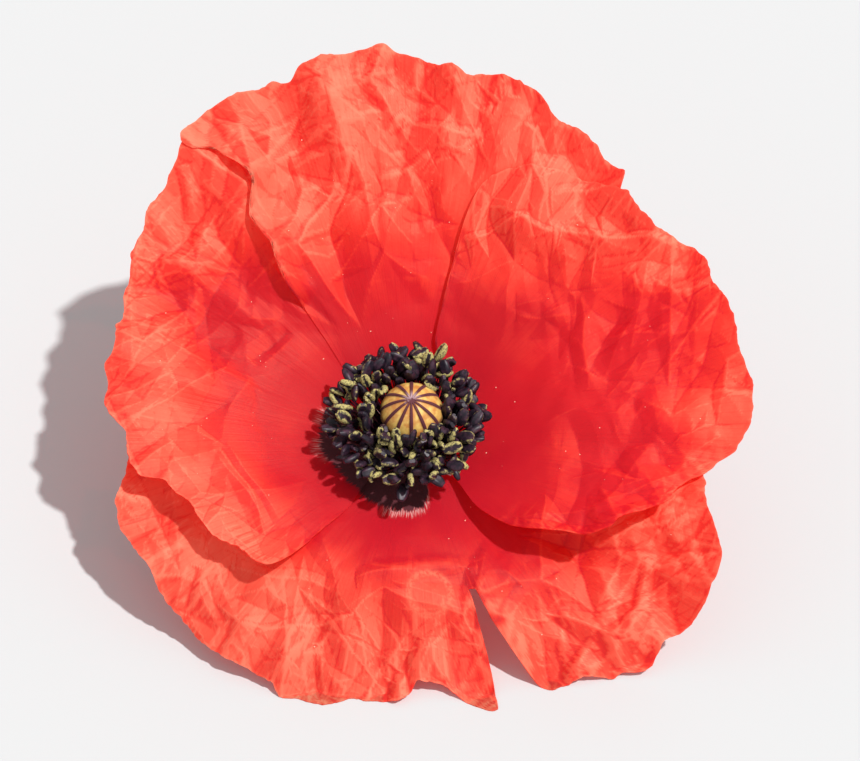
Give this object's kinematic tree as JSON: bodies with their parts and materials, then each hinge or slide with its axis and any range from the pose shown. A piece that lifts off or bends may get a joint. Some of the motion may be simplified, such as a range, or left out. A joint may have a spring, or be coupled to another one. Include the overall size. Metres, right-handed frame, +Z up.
{
  "type": "poppy flower",
  "caption": "Field poppy bloom face up on a short cut stalk: crumpled cupped petals in layers, a dark wreath of stamens and a domed rayed stigma.",
  "frame": {"origin": "middle of the ground area that the bloom covers, on the surface it rests on", "axes": "+X to the bloom's right as it faces the viewer, +Y to its back, where the stalk lies, +Z up"},
  "size_m": [0.0782, 0.0646, 0.0508],
  "materials": {
    "petal": "thin orange-red petal tissue with a soft sheen",
    "stamens": "matt blue-black anthers dusted with olive pollen",
    "pistil": "matt yellow-ochre disc with maroon rays over a pale green ovary",
    "stalk": "satin green stalk with fine hairs"
  },
  "bodies": {
    "root": {"stalk": "stalk", "petal_front": "petal", "petal_left": "petal", "petal_back": "petal", "petal_right": "petal", "stamens": "stamens", "pistil": "pistil"}
  },
  "joints": []
}
